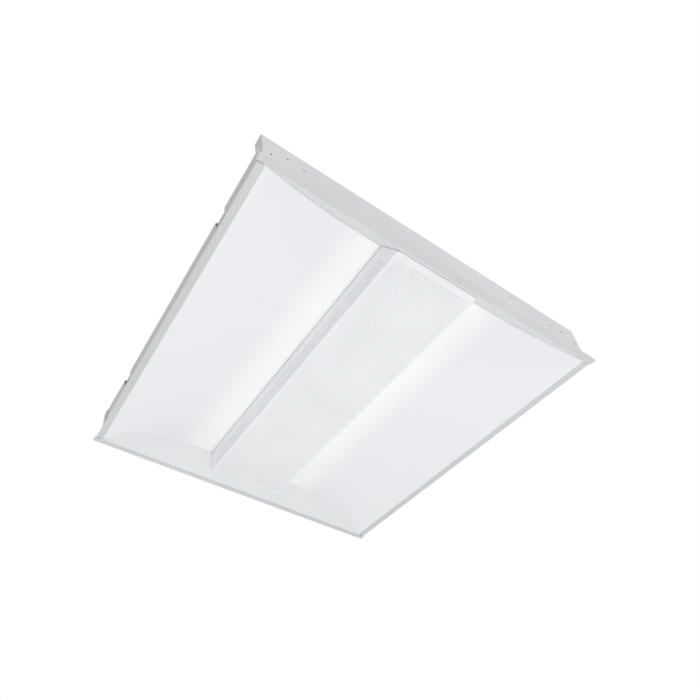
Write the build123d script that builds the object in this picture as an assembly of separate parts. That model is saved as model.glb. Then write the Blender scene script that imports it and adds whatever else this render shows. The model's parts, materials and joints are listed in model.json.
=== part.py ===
from build123d import *
import math
import os

os.makedirs("parts", exist_ok=True)

# Recessed troffer light, millimetres. The origin is the centre of the flange's underside, which rests
# on the ceiling grid. X runs across the reflectors, Y along the basket, and Z up into the ceiling.

# ---- Driving dimensions: housing -------------------------------------------------------------------
module_width = 603.0
module_length = 603.0
wiring_room = 37.4
sheet = 0.7
side_flange = 11.5
end_flange = 10.8
flange_overhang = 2.6
flange_tip_radius = 2.0
flange_slit = 1.4
side_wall_setback = 6.9
end_wall_setback = 8.7
lean_start = 22.0
wall_lean = 0.095
shoulder_drop = 22.0
shoulder_run = 62.2
corner_return = 16.0
top_lip = 12.0
rib_width = 9.0
rib_depth = 1.0
rib_end_margin = 62.0
rib_xs = (-190.0, -95.0, 0.0)
window_over_shoulder = 1.5
wire_hole_radius = 1.9
outer_wire_hole = (17.0, 36.2)
inner_wire_hole = (41.0, 52.5)
slot_hole = (66.7, 50.5)
slot_half_run = 1.3
slot_radius = 1.4
moon_outer_radius = 4.6
moon_inner_radius = 3.6
moon_cut = 1.0
lip_hole_clearance = 1.2
lap_length = 6.0
lap_reach = 3.0
lap_gap = 0.1

# ---- Driving dimensions: optics --------------------------------------------------------------------
end_reflector_lean = 0.65
shelf_over_reflector = 3.65
wall_lip_height = 21.0
wall_lip_end_margin = 5.0
moon_over_shelf = 15.15
reflector_sheet = 0.6
reflector_top = 43.2
reflector_flat = 18.35
reflector_inner_x = 56.0
reflector_foot_lap = 0.4
spine_foot = 52.0
spine_flange = 16.0
spine_sheet = 0.8
spine_height = 18.2
spine_roof = 40.0
basket_half_width = 74.0
basket_bottom = 15.0
basket_wall_run = 12.65
basket_wall_top = 41.5
basket_sheet = 0.6
basket_corner_radius = 3.0
basket_lip = 3.6
basket_end_gap = 0.5
diffuser_thickness = 1.2
diffuser_top = 34.0
diffuser_gap = 0.1
bottom_diffuser_margin = 0.7
board_width = 22.0
board_thickness = 1.6
board_x = 20.0
board_end_margin = 12.0
first_led_margin = 8.0
led_size = 3.0
led_height = 0.7
led_count = 24
board_connector_xs = (9.0, 17.0)
board_connector_half_length = 4.0
board_connector_height = 3.6

# ---- Driving dimensions: moving parts --------------------------------------------------------------
hinge_from_end = 101.5
hinge_drop = 1.9
hinge_out = 1.0
hinge_pin_radius = 1.1
hinge_running_gap = 0.05
knuckle_radius = 2.0
knuckle_half = 8.1
notch_past_ear = 1.0
notch_inside = 3.3
notch_outside = 3.0
notch_depth = 3.4
ear_thickness = 1.0
ear_half_width = 1.9
ear_side_gap = 0.4
ear_slot_half = 3.0
ear_slot_margin = 0.7
bracket_half_length = 12.5
bracket_reach = (10.0, 6.0)
bracket_thickness = 1.0
catch_from_end = 151.5
catch_thickness = 0.5
catch_half_length = 8.0
catch_plate_width = 13.0
catch_plate_thickness = 0.6
catch_flare = 2.4
catch_flare_drop = 1.7
catch_gap = 0.4
catch_slot_margin = 0.6
clip_from_end = 125.5
clip_window = 26.0
clip_window_bottom = 40.0
clip_thickness = 1.0
clip_side_gap = 0.8
clip_height = 15.3
clip_pin_radius = 1.2
clip_knuckle_radius = 2.2
clip_ear_depth = 5.0
clip_ear_out = 1.2
clip_ear_below = 2.6
clip_ear_above = 3.4
clip_pin_overhang = 0.8
clip_hinge_out = 0.4
clip_hinge_rise = 3.2
access_width = 106.0
access_length = 96.0
access_cover_lap = 8.0
access_y = -150.0
access_gap = 0.3
access_pivot_radius = 2.0
access_fixing_inset = 7.0
access_pad_half = 6.0
access_slot_radius = 2.4
access_slot_run = 16.0
access_corner_radius = 3.0

# ---- Driving dimensions: electrical ----------------------------------------------------------------
lane_from_shoulder = 86.0
supply_entry_radius = 11.1
supply_entry_offset = 75.0
driver_width = 43.0
driver_depth = 30.0
driver_near_y = -48.0
driver_far_y = 188.0
driver_tab = 12.0
driver_sheet = 0.8
driver_base_wall = 12.0
driver_cover_gap = 0.1
driver_board_gap = 0.8
driver_board_end_gap = 3.0
post_radius = 2.5
post_x = 12.0
post_from_end = 30.0
terminal_half_width = 9.0
terminal_height = 10.0
terminal_rise = 11.1
terminal_out = 12.0
terminal_in = 6.0
driver_board_thickness = 1.6
driver_blocks = (
    (-11.0, 11.0, 110.0, 136.0, 15.0),
    (-13.0, 5.0, 66.0, 82.0, 12.0),
    (8.0, 12.0, 148.0, 188.0, 13.0),
)
driver_capacitors = (
    (-4.0, 160.0, 6.5, 15.0),
    (-4.0, 178.0, 6.5, 15.0),
    (6.0, 48.0, 5.0, 13.0),
    (-6.0, 34.0, 4.0, 10.0),
)
bushing_from_end = 44.8
bushing_radius = 6.0
bushing_wall = 1.8
bushing_below = 1.0
bushing_rim = 2.5
bushing_rim_height = 1.2
lead_spacing = 2.5
supply_lead_step = 6.0
supply_lead_straight = 16.0
supply_lead_bend = 36.0
supply_lead_drop = 6.0
led_lead_step = 4.0
connector_size = (12.0, 18.0, 8.0)
connector_from_access = 18.0
connector_offsets = (-19.0, 13.0)
ground_offset = (45.0, 16.0)
ground_lead_straight = 10.0
ground_lead_end = 10.0
lug_barrel = (13.0, 5.0)
lug_barrel_height = 3.8
lug_half_width = 2.0
lug_radius = 4.0
lug_thickness = 0.8
lug_gap = 0.1
lead_radius = 1.2
led_lead_radius = 1.3

# ---- Driving dimensions: fastenings ----------------------------------------------------------------
corner_rivet_heights = (34.0, 52.0)
corner_rivet_inset = 9.0
wall_rivet_radius = 1.6
small_rivet_radius = 1.2
housing_screw_radius = 1.7
spine_screw_radius = 1.5
board_screw_radius = 1.4
machine_screw_radius = 2.0
lip_screw_inset = 6.5
lip_screw_margin = 26.0
spine_screw_inset = 8.0
spine_screw_margin = 30.0
spine_screw_inner_y = 80.0
board_screw_offset = 7.0
board_screw_y = 170.0
rivet_step = 5.0
bracket_rivet_offset = 7.0
catch_rivet_offset = 12.0

# ---- Clearances ------------------------------------------------------------------------------------
seat = 0.3
snug = 0.05
pin_fit = 0.02
through = 4.0

# ---- Sizes worked out from the driving dimensions --------------------------------------------------
half_w = module_width / 2
half_l = module_length / 2
side_wall = half_w - side_wall_setback
end_wall = half_l - end_wall_setback
end_wall_inner = end_wall - sheet
housing_depth = reflector_top + wiring_room + 2 * sheet
pan_top = housing_depth - sheet
pan_inner_top = pan_top - sheet
shoulder_z = housing_depth - shoulder_drop
shoulder_x = side_wall + wall_lean * (shoulder_z - lean_start)
flat_half = shoulder_x - shoulder_run
return_x = side_wall + sheet + seat
hem_top = 2 * sheet
flange_inner_x = half_w - side_flange
flange_inner_y = half_l - end_flange
lane_x = flat_half - lane_from_shoulder
slope_foot = flange_inner_y + 0.5
basket_top_x = basket_half_width + basket_wall_run
vertex_x = basket_top_x + reflector_flat
shelf_height = reflector_top + shelf_over_reflector
moon_height = shelf_height + moon_over_shelf
spine_base = reflector_top + reflector_sheet
spine_top = spine_base + spine_height
spine_half = slope_foot - end_reflector_lean * shelf_height - 1.0
hinge_x = basket_top_x + hinge_out
hinge_z = basket_wall_top - hinge_drop
tongue_x = -basket_top_x + basket_lip + catch_gap
hinge_y = half_l - hinge_from_end
catch_y = half_l - catch_from_end
clip_y = half_l - clip_from_end
clip_hinge_z = clip_window_bottom + clip_hinge_rise
driver_half = driver_width / 2
driver_bottom = pan_inner_top - driver_depth
terminal_base = driver_bottom + terminal_rise
lead_start_y = driver_near_y - terminal_out
lead_z = terminal_base + terminal_height / 2
led_lead_start_y = driver_far_y + terminal_out
bushing_y = spine_half - bushing_from_end
connector_xs = (lane_x + connector_offsets[0], lane_x + connector_offsets[1])
connector_y = access_y + connector_from_access


up = (0, 0, 1)
down = (0, 0, -1)
along = (0, 1, 0)


# ---- Helpers ---------------------------------------------------------------------------------------
def save(node, *solids):
    """Write one node's STEP file. Several solids are a group of like pieces."""
    shape = solids[0] if len(solids) == 1 else Compound(children=list(solids))
    export_step(shape, f"parts/{node}.step")


def block(xs, ys, zs):
    """A box between two limits on each axis."""
    low = [min(pair) for pair in (xs, ys, zs)]
    size = [abs(pair[1] - pair[0]) for pair in (xs, ys, zs)]
    return Pos(*low) * Box(*size, align=(Align.MIN, Align.MIN, Align.MIN))


def rod(point, direction, radius, length):
    """A cylinder from a point along a direction."""
    return Part() + Solid.make_cylinder(radius, length, Plane(origin=point, z_dir=direction))


def bore(point, direction, radius, reach=through):
    """A cylinder through a sheet, as long on one side of the point as on the other."""
    start = Vector(*point) - Vector(*direction).normalized() * reach
    return rod(start, direction, radius, 2 * reach)


def fastener(point, direction, head_radius, head_height, shank_radius, shank_length):
    """A screw or rivet: its head stands on the point, and its shank runs the other way."""
    head_plane = Plane(origin=point, z_dir=direction)
    head = Solid.make_cone(head_radius, 0.7 * head_radius, head_height, head_plane)
    shank_start = Vector(*point) - Vector(*direction).normalized() * shank_length
    return rod(shank_start, direction, shank_radius, shank_length + head_height / 2) + head


def along_y(outline, low, high):
    """An outline of (x, z) points, run along Y."""
    face = make_face(Polyline(*[(x, low, z) for x, z in outline], close=True))
    return extrude(face, amount=high - low, dir=(0, 1, 0))


def along_x(outline, low, high):
    """An outline of (y, z) points, run along X."""
    face = make_face(Polyline(*[(low, y, z) for y, z in outline], close=True))
    return extrude(face, amount=high - low, dir=(1, 0, 0))


def shell_along_y(outline, outer_inset, inner_inset, low, high):
    """A wall that follows a closed outline, from one inset of it to another, run along Y."""
    face = make_face(Polyline(*[(x, low, z) for x, z in outline], close=True))
    outer = offset(face, amount=-outer_inset, kind=Kind.INTERSECTION) if outer_inset else face
    inner = offset(face, amount=-inner_inset, kind=Kind.INTERSECTION)
    return extrude(outer - inner, amount=high - low, dir=(0, 1, 0))


def slope_y(z):
    """How far the sloped end reflectors' seen faces stand from the middle, at a height."""
    return slope_foot - end_reflector_lean * z


def between_slopes(gap, low, high):
    """The space between the two sloped end reflectors, less a gap at each."""
    outline = [
        (-slope_y(low) + gap, low),
        (slope_y(low) - gap, low),
        (slope_y(high) - gap, high),
        (-slope_y(high) + gap, high),
    ]
    return along_x(outline, -half_w, half_w)


def wire_path(points):
    """Straight runs joined by the largest tangent arcs that the shorter run allows."""
    corners = [Vector(*point) for point in points]
    radii = []
    for before, corner, after in zip(corners, corners[1:], corners[2:]):
        turn = math.radians((corner - before).get_angle(after - corner))
        shorter = min((corner - before).length, (after - corner).length)
        radii.append(0.45 * shorter / math.tan(turn / 2))
    return FilletPolyline(*corners, radius=radii)


def wire(points, radius):
    """A round lead along a path."""
    path = wire_path(points)
    start = Plane(origin=path @ 0, z_dir=path % 0)
    return sweep(start * Circle(radius), path=path)


def shoulder_outline(base):
    """The housing's outer section, closed below at a height under the flange."""
    return [
        (-side_wall, base),
        (-side_wall, lean_start),
        (-shoulder_x, shoulder_z),
        (-flat_half, pan_top),
        (flat_half, pan_top),
        (shoulder_x, shoulder_z),
        (side_wall, lean_start),
        (side_wall, base),
    ]


# ---- Fastening points ------------------------------------------------------------------------------
lean_angle = math.atan(wall_lean)
corner_rivet_points = []
for side in (-1, 1):
    for end in (-1, 1):
        for height in corner_rivet_heights:
            face_x = return_x + wall_lean * (height - lean_start)
            rivet_y = end * (end_wall - corner_rivet_inset)
            corner_rivet_points.append((side, (side * face_x, rivet_y, height)))
lip_screw_points = [
    (place * (flat_half - lip_screw_margin), end * (end_wall - lip_screw_inset), housing_depth)
    for end in (-1, 1)
    for place in (-1, 0, 1)
]
shelf_rivet_points = [
    (side * half_w / 2, end * end_wall, moon_height)
    for end in (-1, 1)
    for side in (-1, 1)
]
spine_screw_points = [
    (side * (spine_foot + spine_screw_inset), end * y, spine_base + spine_sheet)
    for side in (-1, 1)
    for end in (-1, 1)
    for y in (spine_half - spine_screw_margin, spine_screw_inner_y)
]
board_screw_points = [
    (side * (board_x + board_screw_offset), y, spine_top - board_thickness)
    for side in (-1, 1)
    for y in (-board_screw_y, 0.0, board_screw_y)
]
driver_screw_points = [
    (lane_x, driver_near_y - driver_tab / 2, pan_top),
    (lane_x, driver_far_y + driver_tab / 2, pan_top),
]
bracket_rivet_points = [
    (hinge_x - bracket_rivet_offset, end * hinge_y + step, reflector_top)
    for end in (-1, 1)
    for step in (-rivet_step, rivet_step)
]
catch_rivet_points = [
    (-basket_top_x + catch_rivet_offset, end * catch_y + step, reflector_top)
    for end in (-1, 1)
    for step in (-rivet_step, rivet_step)
]
access_x_low = lane_x - access_width / 2
access_x_high = lane_x + access_width / 2
access_y_low = access_y - access_length / 2
access_y_high = access_y + access_length / 2
pivot_point = (access_x_high - access_fixing_inset, access_y_high - access_fixing_inset, pan_top)
lock_point = (access_x_low + access_fixing_inset, access_y_low + access_fixing_inset, pan_top)
ground_point = (lane_x + ground_offset[0], access_y_high + ground_offset[1], pan_inner_top)


# ---- Housing ---------------------------------------------------------------------------------------
def clip_hinge_x(side):
    """The grid clips' pins lie just outside the foot of the side walls."""
    return side * (side_wall + clip_hinge_out)


def make_housing_pan():
    drop = -20.0
    pan = shell_along_y(shoulder_outline(drop), 0, sheet, -end_wall_inner, end_wall_inner)
    pan -= block((-half_w, half_w), (-half_l, half_l), (drop - 1, sheet))
    flange_end = flange_inner_y - flange_slit
    for side in (-1, 1):
        lower = block((side * flange_inner_x, side * half_w), (-flange_end, flange_end), (0, sheet))
        upper = block(
            (side * (side_wall - sheet), side * half_w), (-flange_end, flange_end), (sheet, hem_top)
        )
        pan += lower + upper
    for end in (-1, 1):
        end_flange_ys = (end * (end_wall_inner + 1), end * flange_end)
        pan -= block((-half_w, half_w), end_flange_ys, (-1, hem_top + 0.1))
    for x in rib_xs:
        pan = add_rib(pan, x)
    for side in (-1, 1):
        for end in (-1, 1):
            pan = add_clip_window(pan, side, end * clip_y)
    opening_x = (access_x_low + access_cover_lap, access_x_high - access_cover_lap)
    opening_y = (access_y_low + access_cover_lap, access_y_high - access_cover_lap)
    pan -= block(opening_x, opening_y, (pan_inner_top - 1, pan_top + 1))
    for x, y, _ in (pivot_point, lock_point):
        pad_xs = (x - access_pad_half, x + access_pad_half)
        pad_ys = (y - access_pad_half, y + access_pad_half)
        pan += block(pad_xs, pad_ys, (pan_inner_top, pan_top))
    pan -= bore(pivot_point, up, access_pivot_radius + snug)
    pan -= bore(lock_point, up, machine_screw_radius + snug)
    pan -= bore((lane_x - supply_entry_offset, access_y, pan_top), up, supply_entry_radius)
    pan -= bore((*ground_point[:2], pan_top), up, machine_screw_radius + snug)
    for point in driver_screw_points + lip_screw_points:
        pan -= bore(point, up, housing_screw_radius + snug)
    for side, point in corner_rivet_points:
        pan -= bore(point, rivet_direction(side), wall_rivet_radius + snug)
    return pan


def add_rib(pan, x):
    """A shallow pressed rib along the back: sunk outside and proud inside."""
    reach = half_l - rib_end_margin
    inside = block(
        (x - rib_width / 2 - sheet, x + rib_width / 2 + sheet),
        (-reach - sheet, reach + sheet),
        (pan_inner_top - rib_depth, pan_inner_top),
    )
    groove = block(
        (x - rib_width / 2, x + rib_width / 2), (-reach, reach), (pan_top - rib_depth, pan_top + 1)
    )
    return pan + inside - groove


def add_clip_window(pan, side, y):
    """A window in the side wall and shoulder, with two bent ears for a grid clip's pin."""
    half = clip_window / 2
    window_x = (side * (side_wall - 10.0), side * half_w)
    window_top = shoulder_z + window_over_shoulder
    pan -= block(window_x, (y - half, y + half), (clip_window_bottom, window_top))
    hinge = clip_hinge_x(side)
    for edge in (-1, 1):
        ys = (y + edge * half, y + edge * (half + sheet))
        ear_xs = (hinge - side * clip_ear_depth, hinge + side * clip_ear_out)
        ear_zs = (clip_hinge_z - clip_ear_below, clip_hinge_z + clip_ear_above)
        pan += block(ear_xs, ys, ear_zs)
    pin_bore = bore((hinge, y, clip_hinge_z), along, clip_pin_radius + pin_fit, half + 2.0)
    return pan - pin_bore


def rivet_direction(side):
    """Square to the leaning corner return, pointing out."""
    return (side * math.cos(lean_angle), 0, -math.sin(lean_angle))


# ---- End plates ------------------------------------------------------------------------------------
def plate_corners(end):
    """The top of an end plate's right edge: square at the near end, cut like the shoulder at the far."""
    if end < 0:
        return [(return_x + wall_lean * (housing_depth - lean_start), housing_depth)]
    corner_x = return_x + wall_lean * (shoulder_z - lean_start)
    return [(corner_x, shoulder_z), (flat_half, housing_depth)]


def make_end_plate(end):
    corners = plate_corners(end)
    right = [(return_x, sheet), (return_x, lean_start), *corners]
    outline = right + [(-x, z) for x, z in reversed(right)]
    corner_x, corner_z = corners[0]
    wall_ys = sorted((end * end_wall, end * end_wall_inner))
    plate = along_y(outline, *wall_ys)
    tip = half_w + flange_overhang
    lower = block((-tip, tip), (end * flange_inner_y, end * half_l), (0, sheet))
    upper = block((-tip, tip), (end * end_wall_inner, end * half_l), (sheet, hem_top))
    flange = lower + upper
    outer_edges = flange.edges().filter_by(Axis.Z).filter_by(lambda e: abs(e.center().Y) > half_l - 0.1)
    plate += fillet(outer_edges, flange_tip_radius)
    for side in (-1, 1):
        plate += corner_lap(side, end)
    lip_ys = (end * (end_wall - 0.1), end * (end_wall - top_lip))
    plate += block((-flat_half + 6.0, flat_half - 6.0), lip_ys, (pan_top, housing_depth))
    for side in (-1, 1):
        strip = [
            (side * return_x, lean_start),
            (side * corner_x, corner_z),
            (side * (corner_x - sheet), corner_z),
            (side * (return_x - sheet), lean_start),
        ]
        return_ys = sorted((end * end_wall, end * (end_wall - corner_return)))
        plate += along_y(strip, *return_ys)
    plate = cut_moons(cut_wire_holes(plate, end), end)
    for point in lip_screw_points:
        plate -= bore(point, up, housing_screw_radius + snug)
    for side, point in corner_rivet_points:
        plate -= bore(point, rivet_direction(side), wall_rivet_radius + snug)
    return plate


def corner_lap(side, end):
    """A tab of the end flange that laps over the side flange's end and closes the slit from above."""
    xs = (side * (side_wall + seat), side * half_w)
    base = hem_top + lap_gap
    tab = block(xs, (end * (end_wall_inner - lap_length), end * end_wall), (base, base + sheet))
    foot_ys = (end * end_wall_inner, end * (end_wall + lap_reach))
    return tab + block(xs, foot_ys, (hem_top - lap_gap, base + sheet))


def cut_wire_holes(plate, end, clearance=0.0):
    """The round wire holes and the short slots, through the outer wall and what lies behind it."""
    wall_ys = (end * (end_wall - through), end * (end_wall + through))
    slot_z = slot_hole[1]
    round_radius = wire_hole_radius + clearance
    end_radius = slot_radius + clearance
    for side in (-1, 1):
        for from_edge, height in (outer_wire_hole, inner_wire_hole):
            centre = (side * (half_w - from_edge), end * end_wall, height)
            plate -= bore(centre, along, round_radius)
        slot_x = side * (half_w - slot_hole[0])
        for step in (-slot_half_run, slot_half_run):
            plate -= bore((slot_x + step, end * end_wall, slot_z), along, end_radius)
        slot_xs = (slot_x - slot_half_run, slot_x + slot_half_run)
        plate -= block(slot_xs, wall_ys, (slot_z - end_radius, slot_z + end_radius))
    return plate


def cut_moons(plate, end):
    """The half-moon marks of the outer wall, each round a rivet's hole."""
    wall_ys = (end * (end_wall - through), end * (end_wall + through))
    for side in (-1, 1):
        moon = (side * half_w / 2, end * end_wall, moon_height)
        ring = bore(moon, along, moon_outer_radius) - bore(moon, along, moon_inner_radius, through + 1)
        below_xs = (moon[0] - moon_outer_radius, moon[0] + moon_outer_radius)
        below_zs = (moon_height - moon_outer_radius, moon_height - moon_cut)
        ring -= block(below_xs, wall_ys, below_zs)
        plate -= ring
        plate -= bore(moon, along, wall_rivet_radius + snug)
    return plate


# ---- Reflectors ------------------------------------------------------------------------------------
def make_end_reflector(end):
    across = sheet * math.sqrt(1 + end_reflector_lean**2)
    shelf_top = shelf_height + sheet
    lip_top = shelf_height + wall_lip_height
    outline = [
        (slope_y(sheet), sheet),
        (slope_y(shelf_top), shelf_top),
        (end_wall_inner - sheet, shelf_top),
        (end_wall_inner - sheet, lip_top),
        (end_wall_inner, lip_top),
        (end_wall_inner, shelf_height),
        (slope_y(shelf_height) + across, shelf_height),
        (slope_y(sheet) + across, sheet),
    ]
    reach = side_wall - sheet - seat
    plate = along_x([(end * y, z) for y, z in outline], -reach, reach)
    shoulder_left = (pan_top - lip_top) / (pan_top - shoulder_z)
    lip_reach = flat_half + shoulder_run * shoulder_left - wall_lip_end_margin
    for side in (-1, 1):
        lip_ys = (end * (end_wall_inner - 2 * sheet), end * (end_wall_inner + 1))
        plate -= block((side * lip_reach, side * half_w), lip_ys, (shelf_top, lip_top + 1))
    for point in shelf_rivet_points:
        plate -= bore(point, along, wall_rivet_radius + snug)
    return cut_wire_holes(plate, end, lip_hole_clearance)


foot_x = flange_inner_x - reflector_foot_lap
arc_rise = reflector_top - sheet
arc_run = foot_x - vertex_x
arc_radius = (arc_run**2 + arc_rise**2) / (2 * arc_rise)
arc_centre_z = reflector_top - arc_radius


def arc_height(x, radius):
    """Height of the reflectors' arc, or of one beside it, away from the middle."""
    past = max(abs(x) - vertex_x, 0)
    return arc_centre_z + math.sqrt(radius**2 - past**2)


def make_reflector(side):
    """A curved sheet from a foot on the side flange to a flat margin under the spine."""
    foot_end = side_wall - sheet - seat
    outer = arc_radius + reflector_sheet
    back = reflector_top + reflector_sheet
    foot_top = sheet + reflector_sheet
    mid_x = (vertex_x + foot_x) / 2

    def at(point):
        return (side * point[0], -half_l, point[1])

    seen_mid = (mid_x, arc_height(mid_x, arc_radius))
    seen_arc = ThreePointArc(at((foot_x, sheet)), at(seen_mid), at((vertex_x, reflector_top)))
    back_foot = (vertex_x + math.sqrt(outer**2 - (foot_top - arc_centre_z) ** 2), foot_top)
    back_arc = ThreePointArc(at((vertex_x, back)), at((mid_x, arc_height(mid_x, outer))), at(back_foot))
    edges = [
        Line(at((foot_end, sheet)), at((foot_x, sheet))),
        seen_arc,
        Line(at((vertex_x, reflector_top)), at((reflector_inner_x, reflector_top))),
        Line(at((reflector_inner_x, reflector_top)), at((reflector_inner_x, back))),
        Line(at((reflector_inner_x, back)), at((vertex_x, back))),
        back_arc,
        Line(at(back_foot), at((foot_end, foot_top))),
        Line(at((foot_end, foot_top)), at((foot_end, sheet))),
    ]
    strip = extrude(make_face(edges), amount=2 * half_l, dir=(0, 1, 0))
    strip = strip & between_slopes(seat, 0, back + 1)
    for point in spine_screw_points:
        strip -= bore(point, up, spine_screw_radius + snug)
    zs = (reflector_top - 1, back + 1)
    if side > 0:
        for end in (-1, 1):
            for edge in (-1, 1):
                inner = end * hinge_y + edge * (knuckle_half + 0.1)
                outer_y = end * hinge_y + edge * (knuckle_half + ear_thickness + ear_slot_margin)
                slot_xs = (hinge_x - ear_slot_half, hinge_x + ear_slot_half)
                strip -= block(slot_xs, (inner, outer_y), zs)
        rivets = bracket_rivet_points
    else:
        slot = (tongue_x - ear_side_gap, tongue_x + catch_thickness + ear_side_gap)
        slot_half = catch_half_length + catch_slot_margin
        for end in (-1, 1):
            strip -= block(slot, (end * catch_y - slot_half, end * catch_y + slot_half), zs)
        rivets = catch_rivet_points
    for point in rivets:
        strip -= bore(point, up, small_rivet_radius + snug)
    return strip


# ---- Spine and lamps -------------------------------------------------------------------------------
def make_spine():
    foot = spine_foot
    web = [
        (foot, spine_base),
        (foot, spine_base + spine_sheet),
        (spine_roof, spine_top + spine_sheet),
        (-spine_roof, spine_top + spine_sheet),
        (-foot, spine_base + spine_sheet),
        (-foot, spine_base),
    ]
    web_width = spine_sheet * 1.2
    hollow = [
        (foot - web_width, spine_base - 1),
        (foot - web_width, spine_base + 0.2),
        (spine_roof - web_width / 2, spine_top),
        (-spine_roof + web_width / 2, spine_top),
        (-foot + web_width, spine_base + 0.2),
        (-foot + web_width, spine_base - 1),
    ]
    spine = along_y(web, -spine_half, spine_half)
    spine -= along_y(hollow, -spine_half + spine_sheet, spine_half - spine_sheet)
    for side in (-1, 1):
        flange_xs = (side * (foot - web_width), side * (foot + spine_flange))
        zs = (spine_base, spine_base + spine_sheet)
        spine += block(flange_xs, (-spine_half, spine_half), zs)
    for point in spine_screw_points:
        spine -= bore(point, up, spine_screw_radius + snug)
    for point in board_screw_points:
        spine -= bore(point, up, board_screw_radius + snug)
    return spine - bore((0, bushing_y, spine_top), up, bushing_radius + snug)


def make_board(side):
    reach = spine_half - board_end_margin
    xs = (side * (board_x - board_width / 2), side * (board_x + board_width / 2))
    board = block(xs, (-reach, reach), (spine_top - board_thickness, spine_top))
    for point in board_screw_points:
        board -= bore(point, up, board_screw_radius + snug)
    return board


def make_leds(side):
    face = spine_top - board_thickness
    reach = spine_half - board_end_margin - first_led_margin
    pitch = 2 * reach / (led_count - 1)
    half = led_size / 2
    leds = []
    for index in range(led_count):
        y = -reach + index * pitch
        xs = (side * board_x - half, side * board_x + half)
        leds.append(block(xs, (y - half, y + half), (face - led_height, face)))
    return leds


def make_board_connector(side):
    face = spine_top - board_thickness
    xs = (side * board_connector_xs[0], side * board_connector_xs[1])
    ys = (bushing_y - board_connector_half_length, bushing_y + board_connector_half_length)
    return block(xs, ys, (face - board_connector_height, face))


def make_bushing():
    roof = spine_top + spine_sheet
    foot = (0, bushing_y, spine_top - bushing_below)
    ring = rod(foot, up, bushing_radius, spine_sheet + bushing_below)
    ring += rod((0, bushing_y, roof), up, bushing_radius + bushing_rim, bushing_rim_height)
    return ring - bore((0, bushing_y, roof), up, bushing_radius - bushing_wall)


# ---- Basket ----------------------------------------------------------------------------------------
def basket_outline():
    """The basket's outer section, its walls run on upwards past their top."""
    rise = 60.0
    lean = basket_wall_run / (basket_wall_top - basket_bottom)
    return [
        (-basket_half_width, basket_bottom),
        (basket_half_width, basket_bottom),
        (basket_half_width + lean * rise, basket_bottom + rise),
        (-basket_half_width - lean * rise, basket_bottom + rise),
    ]


def make_basket():
    basket = shell_along_y(basket_outline(), 0, basket_sheet, -half_l, half_l)
    basket -= block((-half_w, half_w), (-half_l - 1, half_l + 1), (basket_wall_top, 100))
    lip_xs = (-basket_top_x + 0.3, -basket_top_x + basket_lip)
    basket += block(lip_xs, (-half_l, half_l), (basket_wall_top - basket_sheet, basket_wall_top))
    basket = basket & between_slopes(basket_end_gap, basket_bottom - 1, basket_wall_top + 1)
    for side in (-1, 1):
        for end in (-1, 1):
            basket -= corner_cut(side, end)
    axis_bore_radius = hinge_pin_radius + hinge_running_gap
    for end in (-1, 1):
        start = (hinge_x, end * hinge_y - knuckle_half, hinge_z)
        basket += rod(start, along, knuckle_radius, 2 * knuckle_half)
        axis_point = (hinge_x, end * hinge_y, hinge_z)
        basket -= bore(axis_point, along, axis_bore_radius, knuckle_half + 2)
        for edge in (-1, 1):
            inner = end * hinge_y + edge * knuckle_half
            outer = end * hinge_y + edge * (knuckle_half + ear_thickness + notch_past_ear)
            notch_xs = (hinge_x - notch_inside, hinge_x + notch_outside)
            notch_zs = (hinge_z - notch_depth, basket_wall_top + 1)
            basket -= block(notch_xs, (inner, outer), notch_zs)
    return basket


def corner_cut(side, end):
    """What rounds off a lower corner of the basket, seen from below."""
    radius = basket_corner_radius
    corner_y = slope_y(basket_bottom) - basket_end_gap
    inner_x = basket_half_width - radius
    inner_y = corner_y - radius
    zs = (basket_bottom - 1, basket_bottom + radius / 2)
    xs = (side * inner_x, side * (basket_half_width + radius))
    square = block(xs, (end * inner_y, end * (corner_y + radius)), zs)
    return square - rod((side * inner_x, end * inner_y, zs[0] - 1), up, radius, radius * 2)


diffuser_end_gap = basket_end_gap + basket_corner_radius


def make_bottom_diffuser():
    """A flat sheet on the basket's bottom."""
    low = basket_bottom + basket_sheet + diffuser_gap
    high = low + diffuser_thickness
    reach = basket_half_width - bottom_diffuser_margin
    flat = block((-reach, reach), (-half_l, half_l), (low, high))
    return flat & between_slopes(diffuser_end_gap, low - 1, high + 1)


def make_side_diffuser(side):
    """A flat strip that stands on the bottom sheet's margin and leans on a basket wall."""
    inset = basket_sheet + diffuser_gap
    strip = shell_along_y(basket_outline(), inset, inset + diffuser_thickness, -half_l, half_l)
    foot = basket_bottom + basket_sheet + diffuser_thickness + 2 * diffuser_gap
    strip &= block((0, side * half_w), (-half_l, half_l), (foot, diffuser_top))
    return strip & between_slopes(diffuser_end_gap, foot - 1, diffuser_top + 1)


# ---- Basket hinge and catches ----------------------------------------------------------------------
def make_hinge_bracket(end):
    y = end * hinge_y
    base = reflector_top + reflector_sheet
    xs = (hinge_x - bracket_reach[0], hinge_x + bracket_reach[1])
    plate = block(xs, (y - bracket_half_length, y + bracket_half_length), (base, base + bracket_thickness))
    ear_xs = (hinge_x - ear_half_width, hinge_x + ear_half_width)
    ear_inner = knuckle_half + ear_side_gap
    for edge in (-1, 1):
        ear_ys = (y + edge * ear_inner, y + edge * (ear_inner + ear_thickness))
        plate += block(ear_xs, ear_ys, (hinge_z - knuckle_radius - 0.1, base + bracket_thickness / 2))
    plate -= bore((hinge_x, y, hinge_z), along, hinge_pin_radius + pin_fit, knuckle_half + 4)
    for point in bracket_rivet_points:
        plate -= bore(point, up, small_rivet_radius + snug)
    return plate


def make_hinge_pin(end):
    reach = knuckle_half + ear_thickness + 1.0
    return rod((hinge_x, end * hinge_y - reach, hinge_z), along, hinge_pin_radius, 2 * reach)


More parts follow.
